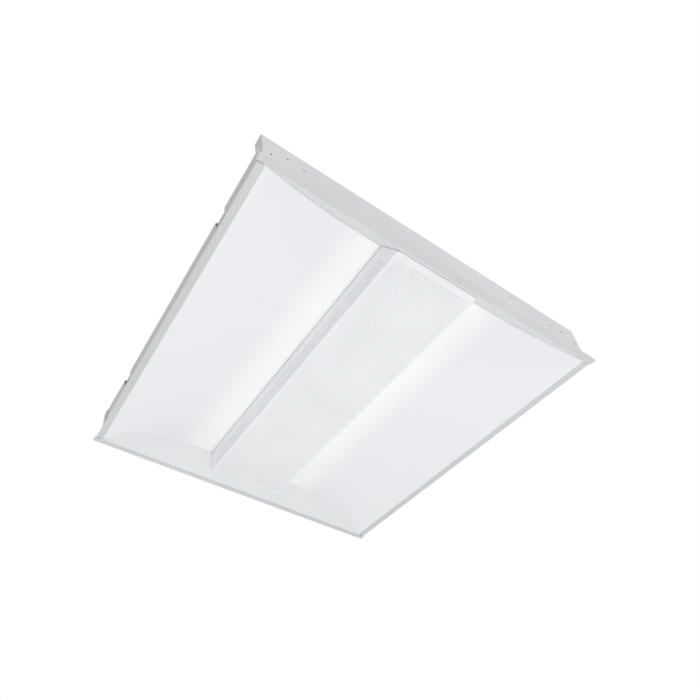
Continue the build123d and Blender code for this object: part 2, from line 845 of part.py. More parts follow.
def make_catch(end):
    y = end * catch_y
    base = reflector_top + reflector_sheet
    ys = (y - catch_half_length, y + catch_half_length)
    plate_zs = (base, base + catch_plate_thickness)
    plate = block((tongue_x, tongue_x + catch_plate_width), ys, plate_zs)
    tongue_zs = (diffuser_top + catch_flare, base + catch_plate_thickness / 2)
    plate += block((tongue_x, tongue_x + catch_thickness), ys, tongue_zs)
    flare = [
        (tongue_x, tongue_zs[0] + 0.2),
        (tongue_x + catch_thickness, tongue_zs[0] + 0.2),
        (tongue_x + catch_flare + catch_thickness, tongue_zs[0] - catch_flare_drop + 0.3),
        (tongue_x + catch_flare, tongue_zs[0] - catch_flare_drop),
    ]
    plate += along_y(flare, *ys)
    for point in catch_rivet_points:
        plate -= bore(point, up, small_rivet_radius + snug)
    return plate


# ---- Grid clips ------------------------------------------------------------------------------------
def make_grid_clip(side, y):
    hinge = clip_hinge_x(side)
    half = clip_window / 2 - clip_side_gap
    flap_xs = (hinge - clip_thickness / 2, hinge + clip_thickness / 2)
    clip = block(flap_xs, (y - half, y + half), (clip_hinge_z, clip_hinge_z + clip_height))
    clip += rod((hinge, y - half, clip_hinge_z), along, clip_knuckle_radius, 2 * half)
    return clip - bore((hinge, y, clip_hinge_z), along, clip_pin_radius + hinge_running_gap, half + 2)


def make_clip_pin(side, y):
    reach = clip_window / 2 + sheet + clip_pin_overhang
    start = (clip_hinge_x(side), y - reach, clip_hinge_z)
    return rod(start, along, clip_pin_radius, 2 * reach)


# ---- Access plate ----------------------------------------------------------------------------------
def make_access_plate():
    base = pan_top + access_gap
    plate = block((access_x_low, access_x_high), (access_y_low, access_y_high), (base, base + sheet))
    plate = fillet(plate.edges().filter_by(Axis.Z), access_corner_radius)
    plate -= bore(pivot_point, up, access_pivot_radius + snug)
    arm = Vector(*lock_point) - Vector(*pivot_point)
    angle = math.degrees(math.atan2(-arm.X, arm.Y))
    slot = block((0, access_slot_run), (-access_slot_radius, access_slot_radius), (-through, through))
    plate -= Pos(*lock_point) * Rot(0, 0, angle) * slot
    return plate - bore(lock_point, up, access_slot_radius)


# ---- Driver and leads ------------------------------------------------------------------------------
def make_driver_base():
    tab_ys = (driver_near_y - driver_tab, driver_far_y + driver_tab)
    floor_zs = (pan_inner_top - driver_sheet, pan_inner_top)
    base = block((lane_x - driver_half, lane_x + driver_half), tab_ys, floor_zs)
    for edge in (-1, 1):
        xs = (lane_x + edge * driver_half, lane_x + edge * (driver_half - driver_sheet))
        wall_zs = (pan_inner_top - driver_base_wall, pan_inner_top)
        base += block(xs, (driver_near_y, driver_far_y), wall_zs)
    for point in driver_screw_points:
        base -= bore(point, up, housing_screw_radius + snug)
    return base


def make_driver_cover():
    half = driver_half - driver_sheet - driver_cover_gap
    xs = (lane_x - half, lane_x + half)
    top = pan_inner_top - driver_sheet - driver_cover_gap
    cover = block(xs, (driver_near_y, driver_far_y), (driver_bottom, top))
    hollow_xs = (xs[0] + driver_sheet, xs[1] - driver_sheet)
    hollow_ys = (driver_near_y + driver_sheet, driver_far_y - driver_sheet)
    cover -= block(hollow_xs, hollow_ys, (driver_bottom + driver_sheet, top + 1))
    window_x = terminal_half_width + seat
    window_zs = (terminal_base - seat, terminal_base + terminal_height + seat)
    window_ys = (driver_near_y - 5, driver_far_y + 5)
    cover -= block((lane_x - window_x, lane_x + window_x), window_ys, window_zs)
    post_base = driver_bottom + driver_sheet / 4
    post_height = terminal_base - driver_board_thickness - post_base
    for x_step in (-post_x, post_x):
        for y in (driver_near_y + post_from_end, driver_far_y - post_from_end):
            cover += rod((lane_x + x_step, y, post_base), up, post_radius, post_height)
    return cover


def make_driver_board():
    """The board with its transformer, choke, heat sink and round capacitors."""
    top = terminal_base
    half = driver_half - 2 * driver_sheet - driver_board_gap
    ys = (driver_near_y + driver_board_end_gap, driver_far_y - driver_board_end_gap)
    board = block((lane_x - half, lane_x + half), ys, (top - driver_board_thickness, top))
    for x_low, x_high, y_low, y_high, height in driver_blocks:
        xs = (lane_x + x_low, lane_x + x_high)
        board += block(xs, (driver_near_y + y_low, driver_near_y + y_high), (top, top + height))
    for x, y, radius, height in driver_capacitors:
        board += rod((lane_x + x, driver_near_y + y, top), up, radius, height)
    return board


def make_terminal(end):
    wall_y = driver_near_y if end < 0 else driver_far_y
    xs = (lane_x - terminal_half_width, lane_x + terminal_half_width)
    ys = (wall_y + end * terminal_out, wall_y - end * terminal_in)
    return block(xs, ys, (terminal_base, terminal_base + terminal_height))


def connector_base(x):
    """A wire connector lies on the reflector's back, on its higher edge."""
    return arc_height(x - connector_size[0] / 2, arc_radius + reflector_sheet) + seat + 0.1


def make_wire_connector(x):
    half = connector_size[0] / 2
    base = connector_base(x)
    ys = (connector_y - connector_size[1], connector_y)
    return block((x - half, x + half), ys, (base, base + connector_size[2]))


def make_supply_lead(start_x, end_x):
    end_z = connector_base(end_x) + connector_size[2] / 2
    points = [
        (start_x, lead_start_y, lead_z),
        (start_x, lead_start_y - supply_lead_straight, lead_z),
        (0.6 * start_x + 0.4 * end_x, lead_start_y - supply_lead_bend, lead_z - supply_lead_drop),
        (end_x, connector_y + 17.0, end_z),
        (end_x, connector_y, end_z),
    ]
    return wire(points, lead_radius)


def make_ground_lead():
    start_x = lane_x + supply_lead_step
    lug_x, lug_y, roof = ground_point
    lug_top = roof - lug_gap
    lug_base = lug_top - lug_thickness
    points = [
        (start_x, lead_start_y, lead_z),
        (start_x, lead_start_y - ground_lead_straight, lead_z),
        (lug_x - 22.0, lug_y - 2.0, roof - 7.0),
        (lug_x - ground_lead_end, lug_y, roof - 2.2),
    ]
    lead = wire(points, lead_radius)
    lug_ys = (lug_y - lug_half_width, lug_y + lug_half_width)
    barrel_xs = (lug_x - lug_barrel[0], lug_x - lug_barrel[1])
    lead += block(barrel_xs, lug_ys, (roof - lug_barrel_height, lug_top))
    lead += block((barrel_xs[1] - 1.0, lug_x), lug_ys, (lug_base, lug_top))
    lead += rod((lug_x, lug_y, lug_base), up, lug_radius, lug_thickness)
    return lead - bore((lug_x, lug_y, roof), up, machine_screw_radius + snug)


def make_led_lead(side):
    """From the driver's far terminal, over the spine and down through the bushing to a board."""
    start_x = lane_x - side * led_lead_step
    swing = 0.0 if side > 0 else 6.0
    level = spine_top + (9.0 if side > 0 else 13.0)
    plug_z = spine_top - board_thickness - board_connector_height / 2
    room = end_wall_inner - led_lead_start_y

    def turn_y(share):
        return led_lead_start_y + share * room + swing * room / 92.0

    points = [
        (start_x, led_lead_start_y, lead_z),
        (start_x, turn_y(0.20), lead_z),
        (lane_x - 32.0, turn_y(0.39), lead_z + 2.0),
        (lane_x - 82.0, turn_y(0.41), level - 1.0),
        (22.0 + swing, turn_y(0.36), level),
        (side * lead_spacing, bushing_y, level + 0.5),
        (side * lead_spacing, bushing_y, plug_z),
        (side * board_connector_xs[0], bushing_y, plug_z),
    ]
    return wire(points, led_lead_radius)


# ---- Build -----------------------------------------------------------------------------------------
save("housing_pan", make_housing_pan())
for end, name in ((-1, "near"), (1, "far")):
    save(f"{name}_end_plate", make_end_plate(end))
    save(f"{name}_end_reflector", make_end_reflector(end))
    save(f"{name}_hinge_bracket", make_hinge_bracket(end))
    save(f"{name}_catch", make_catch(end))
    for side, hand in ((-1, "left"), (1, "right")):
        save(f"{name}_{hand}_clip", make_grid_clip(side, end * clip_y))
for side, hand in ((-1, "left"), (1, "right")):
    save(f"{hand}_reflector", make_reflector(side))
    save(f"{hand}_led_board", make_board(side))
    save(f"{hand}_leds", *make_leds(side))
    save(f"{hand}_led_lead", make_led_lead(side))
save("light_spine", make_spine())
save("board_connectors", *[make_board_connector(side) for side in (-1, 1)])
save("lead_bushing", make_bushing())
save("basket", make_basket())
save("bottom_diffuser", make_bottom_diffuser())
save("side_diffusers", *[make_side_diffuser(side) for side in (-1, 1)])
save("hinge_pins", *[make_hinge_pin(end) for end in (-1, 1)])
save("clip_pins", *[make_clip_pin(side, end * clip_y) for side in (-1, 1) for end in (-1, 1)])
save("access_plate", make_access_plate())
save("driver_base", make_driver_base())
save("driver_cover", make_driver_cover())
save("driver_circuit_board", make_driver_board())
save("driver_terminals", *[make_terminal(end) for end in (-1, 1)])
save("wire_connectors", *[make_wire_connector(x) for x in connector_xs])
save("black_lead", make_supply_lead(lane_x - supply_lead_step, connector_xs[0]))
save("white_lead", make_supply_lead(lane_x, connector_xs[1]))
save("ground_lead", make_ground_lead())

plate_seat = pan_top + access_gap + sheet + access_gap
pivot_seat = (*pivot_point[:2], plate_seat)
lock_seat = (*lock_point[:2], plate_seat)
ground_seat = (*ground_point[:2], pan_top)
# Each row: node, points, direction, head radius, head height, shank radius, shank length.
fastener_groups = [
    ("access_pivot", [pivot_seat], up, 4.5, 1.4, access_pivot_radius, 4.0),
    ("access_screw", [lock_seat], up, 4.5, 1.8, machine_screw_radius, 8.0),
    ("ground_screw", [ground_seat], up, 4.0, 1.6, machine_screw_radius, 6.0),
    ("driver_screws", driver_screw_points, up, 3.4, 1.4, housing_screw_radius, 5.0),
    ("lip_screws", lip_screw_points, up, 3.4, 1.4, housing_screw_radius, 6.0),
    ("spine_screws", spine_screw_points, up, 3.0, 1.3, spine_screw_radius, 2.0),
    ("board_screws", board_screw_points, down, 2.6, 1.2, board_screw_radius, 4.5),
    ("bracket_rivets", bracket_rivet_points, down, 2.4, 0.8, small_rivet_radius, 2.4),
    ("catch_rivets", catch_rivet_points, down, 2.4, 0.8, small_rivet_radius, 2.0),
]
for node, points, direction, *sizes in fastener_groups:
    save(node, *[fastener(point, direction, *sizes) for point in points])
corner_rivets = [
    fastener(point, rivet_direction(side), 3.0, 1.0, wall_rivet_radius, 3.4)
    for side, point in corner_rivet_points
]
save("corner_rivets", *corner_rivets)
shelf_rivets = [
    fastener(point, (0, math.copysign(1, point[1]), 0), 3.0, 0.8, wall_rivet_radius, 3.0)
    for point in shelf_rivet_points
]
save("end_reflector_rivets", *shelf_rivets)
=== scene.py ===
import json
import math

import bmesh
import bpy
from mathutils import Matrix, Vector


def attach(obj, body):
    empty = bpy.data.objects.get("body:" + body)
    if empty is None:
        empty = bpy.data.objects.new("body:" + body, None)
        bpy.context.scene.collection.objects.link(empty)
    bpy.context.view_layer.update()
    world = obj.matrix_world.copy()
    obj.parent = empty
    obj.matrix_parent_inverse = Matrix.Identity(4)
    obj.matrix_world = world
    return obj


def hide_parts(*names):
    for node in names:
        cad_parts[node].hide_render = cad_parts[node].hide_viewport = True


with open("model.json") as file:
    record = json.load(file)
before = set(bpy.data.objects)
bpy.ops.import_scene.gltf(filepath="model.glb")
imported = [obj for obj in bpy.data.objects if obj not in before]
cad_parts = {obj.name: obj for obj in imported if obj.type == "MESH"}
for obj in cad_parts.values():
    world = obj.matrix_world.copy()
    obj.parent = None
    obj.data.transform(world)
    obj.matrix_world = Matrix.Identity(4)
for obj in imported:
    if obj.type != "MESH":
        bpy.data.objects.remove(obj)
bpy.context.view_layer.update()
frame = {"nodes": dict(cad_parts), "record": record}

# Lengths are in metres. A length written in millimetres is multiplied by MM where it is used.
MM = 0.001
nodes = frame["nodes"]
scene = bpy.context.scene
scene.view_settings.view_transform = "Standard"

SMOOTH_ANGLE = math.radians(30.0)
ROUND_SIDES = 32  # of fastener heads and hinge knuckles
SHANK_SIDES = 24
NODE_SLOT, EXTRA_SLOT = 0, 1  # a piece's material slots: its node's, and its own extra one


# ---- Camera ------------------------------------------------------------------------------------
def make_camera():
    """The photograph's view, with the lens shift that its framing needs."""
    data = bpy.data.cameras.new("camera")
    data.sensor_width = 36.0
    data.lens = 29.2342
    data.shift_x = 0.103633
    data.shift_y = 0.071429
    data.clip_start = 0.01
    data.clip_end = 60.0
    camera = bpy.data.objects.new("camera", data)
    right = Vector((0.85253146, -0.5225621, 0.01090702))
    up = Vector((-0.38218896, -0.60901406, 0.69500609))
    back = Vector((-0.35654131, -0.5966831, -0.71892111))
    place = Matrix((right, up, back)).transposed().to_4x4()
    place.translation = Vector((-0.41403, -0.53370, -0.68775))
    camera.matrix_world = place
    scene.collection.objects.link(camera)
    scene.camera = camera


# ---- Materials ---------------------------------------------------------------------------------
def srgb(value):
    """One sRGB channel as a linear value."""
    return value / 12.92 if value <= 0.04045 else ((value + 0.055) / 1.055) ** 2.4


def colour(r, g, b):
    return (srgb(r), srgb(g), srgb(b), 1.0)


def shifted(base, step):
    """An sRGB colour with each channel a step higher or lower."""
    return colour(*[min(max(channel + step, 0.0), 1.0) for channel in base])


class Paint:
    """A Principled material with object-space nodes for its colour, roughness and bump."""

    def __init__(self, name):
        self.material = bpy.data.materials.new(name)
        self.material.use_nodes = True
        self.tree = self.material.node_tree
        self.shader = self.tree.nodes["Principled BSDF"]
        self.coords = self.add("ShaderNodeTexCoord").outputs["Object"]

    def add(self, kind, **values):
        node = self.tree.nodes.new(kind)
        for key, value in values.items():
            setattr(node, key, value)
        return node

    def link(self, source, target):
        self.tree.links.new(source, target)

    def fixed(self, **values):
        """Values that are the same all over, on the shader's own sockets."""
        for key, value in values.items():
            self.shader.inputs[key.replace("_", " ")].default_value = value

    def math(self, operation, first, second):
        """A Math node of one linked value and a second that is linked or a number."""
        node = self.add("ShaderNodeMath", operation=operation)
        self.link(first, node.inputs[0])
        if isinstance(second, (int, float)):
            node.inputs[1].default_value = second
        else:
            self.link(second, node.inputs[1])
        return node.outputs["Value"]

    def axis(self, letter):
        """One object-space coordinate."""
        node = self.add("ShaderNodeSeparateXYZ")
        self.link(self.coords, node.inputs["Vector"])
        return node.outputs[letter]

    def noise(self, scale, detail=3.0):
        node = self.add("ShaderNodeTexNoise")
        node.inputs["Scale"].default_value = scale
        node.inputs["Detail"].default_value = detail
        self.link(self.coords, node.inputs["Vector"])
        return node.outputs["Fac"]

    def spread(self, source, low, high, start=0.3, end=0.7, curve="LINEAR"):
        """A value that goes from low to high as its source goes from start to end."""
        node = self.add("ShaderNodeMapRange", interpolation_type=curve)
        limits = {"From Min": start, "From Max": end, "To Min": low, "To Max": high}
        for key, value in limits.items():
            node.inputs[key].default_value = value
        self.link(source, node.inputs["Value"])
        return node.outputs["Result"]

    def tint(self, source, low, high, start=0.3, end=0.7):
        """The base colour, which goes from low to high as a source goes from start to end."""
        node = self.add("ShaderNodeValToRGB")
        for element, place, tone in zip(node.color_ramp.elements, (start, end), (low, high)):
            element.position = place
            element.color = tone
        self.link(source, node.inputs["Fac"])
        self.link(node.outputs["Color"], self.shader.inputs["Base Color"])

    def rough(self, source, low, high, start=0.3, end=0.7):
        """The roughness, which goes from low to high as a source goes from start to end."""
        self.link(self.spread(source, low, high, start, end), self.shader.inputs["Roughness"])

    def bump(self, source, depth, strength):
        node = self.add("ShaderNodeBump")
        node.inputs["Strength"].default_value = strength
        node.inputs["Distance"].default_value = depth
        self.link(source, node.inputs["Height"])
        self.link(node.outputs["Normal"], self.shader.inputs["Normal"])

    def peel(self, roughness):
        """The faint orange peel of powder coat."""
        fine = self.noise(1400.0, detail=2.0)
        self.rough(fine, roughness - 0.05, roughness + 0.06)
        self.bump(fine, depth=0.00004, strength=0.35)
        self.fixed(Specular_IOR_Level=0.42)


def powder_coat(name, base, roughness=0.42, drift=0.012):
    """Powder coat: orange peel, and a slow drift of tone."""
    paint = Paint(name)
    paint.tint(paint.noise(9.0), shifted(base, -drift), shifted(base, drift))
    paint.peel(roughness)
    return paint.material


def reflector_coat_with_painted_glow(name, base, painted_glow_colour):
    """Matt white with painted light: a soft band beside the basket is painted whiter, a painted
    glow that stands for the light that falls there first.
    """
    glow_inner, glow_outer = 0.094, 0.168
    paint = Paint(name)
    from_middle = paint.math("ABSOLUTE", paint.axis("X"), 0.0)
    # Painted light: the band beside the basket is painted whiter than the rest, a glow that stands
    # for light falling there.
    painted_glow_mask = paint.spread(from_middle, 1.0, 0.0, glow_inner, glow_outer, curve="SMOOTHSTEP")
    drift = paint.spread(paint.noise(5.0), -0.04, 0.04)
    level = paint.math("ADD", painted_glow_mask, drift)
    paint.tint(level, colour(*base), colour(*painted_glow_colour), start=0.0, end=1.0)
    paint.peel(0.62)
    return paint.material


def plastic(name, base, roughness=0.4):
    """Moulded plastic: a fine grain, and a slight drift of tone."""
    paint = Paint(name)
    paint.tint(paint.noise(60.0), shifted(base, -0.02), shifted(base, 0.02))
    grain = paint.noise(2600.0, detail=2.0)
    paint.rough(grain, roughness - 0.06, roughness + 0.08)
    paint.bump(grain, depth=0.00002, strength=0.25)
    return paint.material


def frosted(name, base):
    """Acrylic that lets light through and scatters it."""
    paint = Paint(name)
    paint.tint(paint.noise(40.0), shifted(base, -0.01), shifted(base, 0.01))
    frost = paint.noise(3200.0)
    paint.rough(frost, 0.62, 0.8)
    paint.bump(frost, depth=0.00003, strength=0.3)
    paint.fixed(Transmission_Weight=0.25, IOR=1.49)
    return paint.material


def metal(name, base, roughness):
    """Metal with a fine mottle in its tone and gloss."""
    paint = Paint(name)
    mottle = paint.noise(900.0, detail=4.0)
    paint.tint(mottle, shifted(base, -0.05), shifted(base, 0.03))
    paint.rough(mottle, roughness - 0.08, roughness + 0.12)
    paint.bump(mottle, depth=0.00001, strength=0.2)
    paint.fixed(Metallic=1.0)
    return paint.material


def galvanised(name):
    """Zinc spangle: large crystals of slightly different grey."""
    paint = Paint(name)
    cells = paint.add("ShaderNodeTexVoronoi")
    cells.inputs["Scale"].default_value = 110.0
    paint.link(paint.coords, cells.inputs["Vector"])
    tone = paint.add("ShaderNodeRGBToBW")
    paint.link(cells.outputs["Color"], tone.inputs["Color"])
    spangle = tone.outputs["Val"]
    dark, pale = colour(0.60, 0.62, 0.63), colour(0.74, 0.75, 0.76)
    paint.tint(spangle, dark, pale, start=0.15, end=0.85)
    paint.rough(spangle, 0.34, 0.52, start=0.15, end=0.85)
    paint.bump(paint.noise(900.0), depth=0.00002, strength=0.2)
    paint.fixed(Metallic=1.0)
    return paint.material


def lamp_board(name, mask, gap):
    """White solder mask over copper areas, whose gaps show as faint sunk lines."""
    paint = Paint(name)
    turned = paint.add("ShaderNodeMapping")
    turned.inputs["Rotation"].default_value = (0, 0, math.radians(-90))
    paint.link(paint.coords, turned.inputs["Vector"])
    copper = paint.add("ShaderNodeTexBrick", offset=0.5)
    paint.link(turned.outputs["Vector"], copper.inputs["Vector"])
    settings = {
        "Scale": 1.0,
        "Mortar Size": 0.00018,
        "Mortar Smooth": 0.2,
        "Brick Width": 0.0232,
        "Row Height": 0.0073,
    }
    for key, value in settings.items():
        copper.inputs[key].default_value = value
    gaps = copper.outputs["Fac"]
    tone = paint.math("ADD", gaps, paint.spread(paint.noise(60.0), 0.0, 0.2))
    paint.tint(tone, colour(*mask), colour(*gap), start=0.0, end=1.0)
    paint.rough(paint.noise(2400.0, detail=2.0), 0.28, 0.42)
    paint.bump(paint.math("MULTIPLY", gaps, -1.0), depth=0.00003, strength=0.4)
    return paint.material


def populated_board(name, board, parts, level):
    """A circuit board whose components, above a height, are darker than its lacquer."""
    blend = 0.0004
    paint = Paint(name)
    tone = paint.spread(paint.axis("Z"), 0.0, 1.0, level, level + blend)
    drift = paint.math("ADD", tone, paint.spread(paint.noise(70.0), -0.06, 0.06))
    paint.tint(drift, colour(*board), colour(*parts), start=0.0, end=1.0)
    grain = paint.noise(1800.0, detail=2.0)
    paint.rough(grain, 0.26, 0.42)
    paint.bump(grain, depth=0.00002, strength=0.2)
    return paint.material


# The second white is a painted glow: the reflectors' band beside the basket is painted whiter to
# stand for the light that falls there.
reflector_white, painted_glow_white = (0.935, 0.937, 0.945), (0.985, 0.987, 0.99)
end_reflector_white = (0.89, 0.892, 0.898)
solder_mask, copper_gap = (0.92, 0.925, 0.92), (0.83, 0.84, 0.83)
board_lacquer, board_parts = (0.08, 0.30, 0.14), (0.16, 0.16, 0.17)
materials = {
    "housing_paint": powder_coat("housing_paint", (0.815, 0.815, 0.82)),
    # The reflectors' paint carries a painted glow, a whiter band beside the basket.
    "reflector_paint": reflector_coat_with_painted_glow("reflector_paint", reflector_white, painted_glow_white),
    "end_reflector_paint": powder_coat(
        "end_reflector_paint", end_reflector_white, roughness=0.6, drift=0.008
    ),
    "basket_paint": powder_coat("basket_paint", (0.95, 0.95, 0.96), roughness=0.55),
    "frosted_acrylic": frosted("frosted_acrylic", (0.98, 0.98, 0.985)),
    "circuit_board": lamp_board("circuit_board", solder_mask, copper_gap),
    "led_lens": plastic("led_lens", (0.93, 0.82, 0.36), roughness=0.2),
    "white_plastic": plastic("white_plastic", (0.88, 0.88, 0.86)),
    "black_plastic": plastic("black_plastic", (0.06, 0.06, 0.06)),
    "orange_plastic": plastic("orange_plastic", (0.85, 0.38, 0.08), roughness=0.25),
    "zinc_steel": metal("zinc_steel", (0.70, 0.71, 0.72), roughness=0.3),
    "hinge_steel": powder_coat("hinge_steel", (0.88, 0.88, 0.89)),
    "rivet_aluminium": metal("rivet_aluminium", (0.80, 0.81, 0.82), roughness=0.35),
    "galvanised": galvanised("galvanised"),
    "green_board": populated_board("green_board", board_lacquer, board_parts, level=0.0618),
    "green_screw": plastic("green_screw", (0.10, 0.45, 0.18), roughness=0.25),
    "black_insulation": plastic("black_insulation", (0.06, 0.06, 0.06), roughness=0.35),
    "white_insulation": plastic("white_insulation", (0.90, 0.90, 0.88), roughness=0.35),
    "green_insulation": plastic("green_insulation", (0.08, 0.42, 0.16), roughness=0.35),
}
slot_of = {part["node"]: part["material_slot"] for part in frame["record"]["subparts"]}
body_of = {}
for body, members in frame["record"]["behaviour"]["bodies"].items():
    for member in members:
        body_of[member] = body


def dress_frame():
    """Every CAD node gets its slot's material, but the end reflectors get a greyer coat."""
    for name, node in nodes.items():
        key = "end_reflector_paint" if name.endswith("end_reflector") else slot_of[name]
        for slot in node.material_slots:
            slot.material = materials[key]


# ---- Mesh helpers ------------------------------------------------------------------------------
def add_piece(name, mesh, node, extra_slots=()):
    """A finished piece in the scene, which stands for a CAD node and rides on its body."""
    mesh.shade_smooth()
    mesh.set_sharp_from_angle(angle=SMOOTH_ANGLE)
    for slot in (slot_of[node], *extra_slots):
        mesh.materials.append(materials[slot])
    piece = bpy.data.objects.new(name, mesh)
    scene.collection.objects.link(piece)
    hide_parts(node)
    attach(piece, body_of[node])


def from_bmesh(name, bm):
    """A mesh with all its faces turned outwards."""
    mesh = bpy.data.meshes.new(name)
    bmesh.ops.recalc_face_normals(bm, faces=bm.faces)
    bm.to_mesh(mesh)
    bm.free()
    return mesh


def islands(node):
    """The separate solids of a CAD node, each as its list of corner points, to the micrometre."""
    mesh = nodes[node].data
    parent = {}

    def root(key):
        while parent[key] != key:
            parent[key] = parent[parent[key]]
            key = parent[key]
        return key

    def key_of(index):
        return tuple(round(value * 1e6) for value in mesh.vertices[index].co)

    for polygon in mesh.polygons:
        keys = [key_of(index) for index in polygon.vertices]
        for key in keys:
            parent.setdefault(key, key)
        for key in keys[1:]:
            parent[root(key)] = root(keys[0])
    groups = {}
    for key in parent:
        groups.setdefault(root(key), []).append(Vector(key) * 1e-6)
    return [groups[key] for key in sorted(groups)]


def box_of(points):
    low = Vector([min(point[axis] for point in points) for axis in range(3)])
    high = Vector([max(point[axis] for point in points) for axis in range(3)])
    return low, high


def circle(radius, count):
    turns = [2 * math.pi * step / count for step in range(count)]
    return [(radius * math.cos(a), radius * math.sin(a)) for a in turns]


def rectangle(half_x, half_y, x=0.0, y=0.0):
    """The corners of a rectangle about a point, in turn."""
    signs = [(-1, -1), (1, -1), (1, 1), (-1, 1)]
    return [(x + sign_x * half_x, y + sign_y * half_y) for sign_x, sign_y in signs]


def loop(bm, place, points, height):
    """New vertices at (x, y) points, at a height on a placed frame's z axis."""
    return [bm.verts.new(place @ Vector((x, y, height))) for x, y in points]


def pairs(items):
    """Each item of a closed loop with the next."""
    return list(zip(items, items[1:] + items[:1]))


def bridge(bm, first, second):
    """Faces between two closed loops of as many vertices."""
    for (a, b), (d, c) in zip(pairs(first), pairs(second)):
        bm.faces.new((a, b, c, d))


def rings_of(bm, place, profile, count):
    """A circle of vertices for each (radius, height) of a profile."""
    return [loop(bm, place, circle(radius, count), height) for radius, height in profile]


def lathe(bm, place, profile, count, closed=True):
    """A turned body, open at the last ring if it isn't closed. Gives back its last ring."""
    rings = rings_of(bm, place, profile, count)
    for first, second in zip(rings, rings[1:]):
        bridge(bm, first, second)
    bm.faces.new(rings[0])
    if closed:
        bm.faces.new(rings[-1])
    return rings[-1]


def pocketed_face(bm, place, rim, height, pockets):
    """Fills a flat rim round pockets of (points, depth, taper). Gives back the pockets' floors."""
    edges = [bm.edges.get(pair) or bm.edges.new(pair) for pair in pairs(rim)]
    floors = []
    for points, depth, taper in pockets:
        centre = sum((Vector(point) for point in points), Vector((0, 0))) / len(points)
        shrunk = [centre + (Vector(point) - centre) * taper for point in points]
        top = loop(bm, place, points, height)
        low = loop(bm, place, shrunk, height - depth)
        bridge(bm, top, low)
        floors.append(bm.faces.new(low))
        edges += [bm.edges.get(pair) for pair in pairs(top)]
    bmesh.ops.triangle_fill(bm, use_beauty=True, use_dissolve=False, edges=edges)
    return floors


def round_pocket(radius, depth, taper, x=0.0, count=16):
    """A round pocket for pocketed_face, in millimetres."""
    points = [(x * MM + u, v) for u, v in circle(radius * MM, count)]
    return points, depth * MM, taper


# ---- Fasteners ---------------------------------------------------------------------------------
SHANK_LAP = 0.02 * MM  # how far a shank runs up into its head


def sized(shares, radius, height):
    """A profile from shares of a radius and of a height."""
    return [(radius * r, height * h) for r, h in shares]


def cross_points(reach, half):
    """The outline of a cross recess."""
    quarter = [(reach, -half), (reach, half), (half, half)]
    points = []
    for turn in range(4):
        cos, sin = math.cos(turn * math.pi / 2), math.sin(turn * math.pi / 2)
        points += [(x * cos - y * sin, x * sin + y * cos) for x, y in quarter]
    return points


def screw_head(bm, place, radius, height):
    """A pan head with a cross recess."""
    shares = [(1.0, 0.0), (1.0, 0.3), (0.95, 0.62), (0.84, 0.86), (0.68, 1.0)]
    rim = lathe(bm, place, sized(shares, radius, height), ROUND_SIDES, closed=False)
    recess = cross_points(reach=0.5 * radius, half=0.12 * radius)
    depth, taper = 0.62 * height, 0.7
    pocketed_face(bm, place, rim, height, [(recess, depth, taper)])


def rivet_head(bm, place, radius, height):
    """A domed head with the small pit that the broken mandrel leaves."""
    dome = [(1.0, 0.0), (0.99, 0.25), (0.9, 0.56), (0.7, 0.84), (0.42, 1.0)]
    pit = [(0.3, 1.0), (0.26, 0.45)]
    lathe(bm, place, sized(dome + pit, radius, height), ROUND_SIDES)


def threaded_shank(bm, place, radius, length):
    """A shank with thread ridges and a short point."""
    pitch, depth = 0.9 * MM, 0.25 * MM
    root, neck, tip = radius * 0.8, radius * 0.78, radius * 0.45
    profile = [(radius, SHANK_LAP)]
    while depth + pitch < length:
        profile += [(root, -depth), (radius, -depth - pitch / 2)]
        depth += pitch
    profile += [(neck, -depth), (tip, -length)]
    lathe(bm, place, profile, SHANK_SIDES)


def plain_shank(bm, place, radius, length):
    """A rivet's shank, with its upset end."""
    upset = [(1.0, 0.8), (0.92, 0.94), (0.6, 1.0)]
    lathe(bm, place, [(radius, SHANK_LAP)] + sized(upset, radius, -length), SHANK_SIDES)


def fastener_piece(name, node, direction_of, head_height, shank_radius, head, shank):
    """One piece for a group of like fasteners, each on the axis of its CAD solid."""
    bm = bmesh.new()
    for points in islands(node):
        middle = sum(points, Vector()) / len(points)
        direction = Vector(direction_of(middle)).normalized()
        low, high = box_of(points)
        axis_point = (low + high) / 2
        steps = [point - axis_point for point in points]
        reaches = [step.dot(direction) for step in steps]
        head_radius = max((step - direction * reach).length for step, reach in zip(steps, reaches))
        seat = axis_point + direction * (max(reaches) - head_height)
        place = Matrix.Translation(seat) @ direction.to_track_quat("Z", "X").to_matrix().to_4x4()
        head(bm, place, head_radius, head_height)
        shank(bm, place, shank_radius, max(reaches) - head_height - min(reaches))
    add_piece(name, from_bmesh(name, bm), node)


